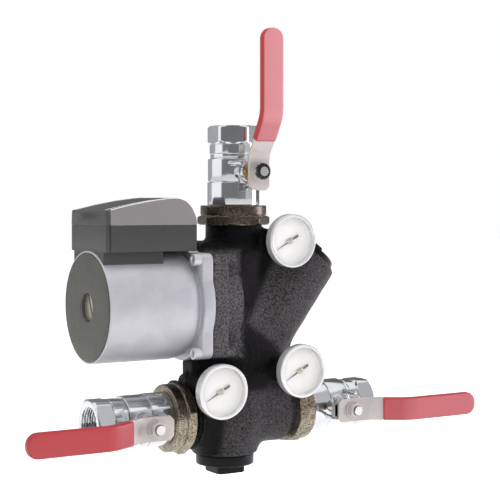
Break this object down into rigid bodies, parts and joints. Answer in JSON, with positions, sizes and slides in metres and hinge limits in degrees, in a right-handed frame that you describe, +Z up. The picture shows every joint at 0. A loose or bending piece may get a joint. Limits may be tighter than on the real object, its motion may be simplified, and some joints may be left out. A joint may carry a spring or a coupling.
{
  "type": "pump mixing group",
  "caption": "Iron heating mixing group with a circulator, lever ball valves on its connections, a thermostat, a check flap and dial thermometers.",
  "frame": {"origin": "centre of the top valve's mouth, on the thread's axis", "axes": "+Z up, out of the top valve along its thread; +X out of the right valve along its thread; -Y is the front, where the levers and dials are"},
  "size_m": [0.4374, 0.1225, 0.3833],
  "materials": {
    "cast_iron_black": "rough black paint",
    "plug_black": "smooth black paint",
    "seal_rubber": "matt",
    "brass": "machined",
    "spring_steel": "drawn wire",
    "motor_aluminium": "fine cast, satin",
    "disc_grey": "matt paint",
    "nickel": "nickel plate",
    "dark_steel": "blackened",
    "lamination": "varnished",
    "ceramic": "polished",
    "stainless": "drawn",
    "impeller_plastic": "moulded",
    "box_plastic": "fine texture",
    "lid_plastic": "fine texture",
    "block_plastic": "moulded",
    "union_nickel": "dull nickel plate",
    "valve_chrome": "satin chrome plate on brass",
    "seat_white": "smooth",
    "lever_steel": "zinc plate",
    "grip_red": "dipped vinyl",
    "bezel_chrome": "polished",
    "dial_white": "matt",
    "gauge_glass": "clear",
    "needle_dark": "matt"
  },
  "bodies": {
    "group": {"casting": "cast_iron_black", "bottom_plug": "plug_black", "slant_plug": "plug_black", "plug_seals": "seal_rubber", "thermostat_frame": "brass", "thermostat_spring": "spring_steel", "flap_pin": "spring_steel", "motor_housing": "motor_aluminium", "end_disc": "disc_grey", "vent_screw": "nickel", "stator": "lamination", "rotor_can": "stainless", "shaft_bearings": "ceramic", "bearing_plate": "stainless", "pump_gasket": "seal_rubber", "pump_bolts": "nickel", "terminal_box": "box_plastic", "terminal_lid": "lid_plastic", "terminal_block": "block_plastic", "lid_screw": "nickel", "cable_gland": "box_plastic", "union_nuts": "union_nickel", "union_gaskets": "seal_rubber", "ball_seats": "seat_white", "gland_nuts": "brass", "top_valve_body": "valve_chrome", "top_valve_end": "valve_chrome", "left_valve_body": "valve_chrome", "left_valve_end": "valve_chrome", "right_valve_body": "valve_chrome", "right_valve_end": "valve_chrome", "upper_gauge_case": "bezel_chrome", "left_gauge_case": "bezel_chrome", "right_gauge_case": "bezel_chrome", "gauge_dials": "dial_white", "gauge_glasses": "gauge_glass", "gauge_probes": "brass"},
    "top_handle": {"top_lever": "lever_steel", "top_grip": "grip_red", "top_lever_nut": "dark_steel", "top_stem": "brass", "top_ball": "valve_chrome"},
    "left_handle": {"left_lever": "lever_steel", "left_grip": "grip_red", "left_lever_nut": "nickel", "left_stem": "brass", "left_ball": "valve_chrome"},
    "right_handle": {"right_lever": "lever_steel", "right_grip": "grip_red", "right_lever_nut": "nickel", "right_stem": "brass", "right_ball": "valve_chrome"},
    "rotor": {"rotor_core": "lamination", "rotor_shaft": "ceramic", "impeller": "impeller_plastic"},
    "poppet": {"thermostat_poppet": "brass"},
    "flap": {"check_flap": "brass"},
    "upper_pointer": {"upper_needle": "needle_dark"},
    "left_pointer": {"left_needle": "needle_dark"},
    "right_pointer": {"right_needle": "needle_dark"}
  },
  "joints": [
    {"name": "top_lever_turn", "type": "hinge", "parent": "group", "child": "top_handle", "pos_m": [0, 0, -0.0408], "axis": [0, 1, 0], "range_deg": [0, 90]},
    {"name": "left_lever_turn", "type": "hinge", "parent": "group", "child": "left_handle", "pos_m": [-0.0982, 0, -0.2525], "axis": [0, 1, 0], "range_deg": [0, 90]},
    {"name": "right_lever_turn", "type": "hinge", "parent": "group", "child": "right_handle", "pos_m": [0.0982, 0, -0.2525], "axis": [0, 1, 0], "range_deg": [0, 90]},
    {"name": "rotor_spin", "type": "hinge", "parent": "group", "child": "rotor", "pos_m": [-0.08, 0, -0.1544], "axis": [1, 0, 0], "continuous": true},
    {"name": "poppet_slide", "type": "slide", "parent": "group", "child": "poppet", "axis": [0, 0, -1], "range_m": [0, 0.008], "stiffness_N_per_m": 5000, "springref_m": -0.005, "deforming": ["thermostat_spring"]},
    {"name": "flap_swing", "type": "hinge", "parent": "group", "child": "flap", "pos_m": [0.02104, 0, -0.16449], "axis": [0, -1, 0], "range_deg": [0, 60]},
    {"name": "upper_needle_turn", "type": "hinge", "parent": "group", "child": "upper_pointer", "pos_m": [0.0265, -0.0515, -0.1002], "axis": [0, 1, 0], "range_deg": [-16, 254]},
    {"name": "left_needle_turn", "type": "hinge", "parent": "group", "child": "left_pointer", "pos_m": [-0.0418, -0.0515, -0.2249], "axis": [0, 1, 0], "range_deg": [-16, 254]},
    {"name": "right_needle_turn", "type": "hinge", "parent": "group", "child": "right_pointer", "pos_m": [0.0367, -0.0515, -0.2125], "axis": [0, 1, 0], "range_deg": [-16, 254]}
  ]
}
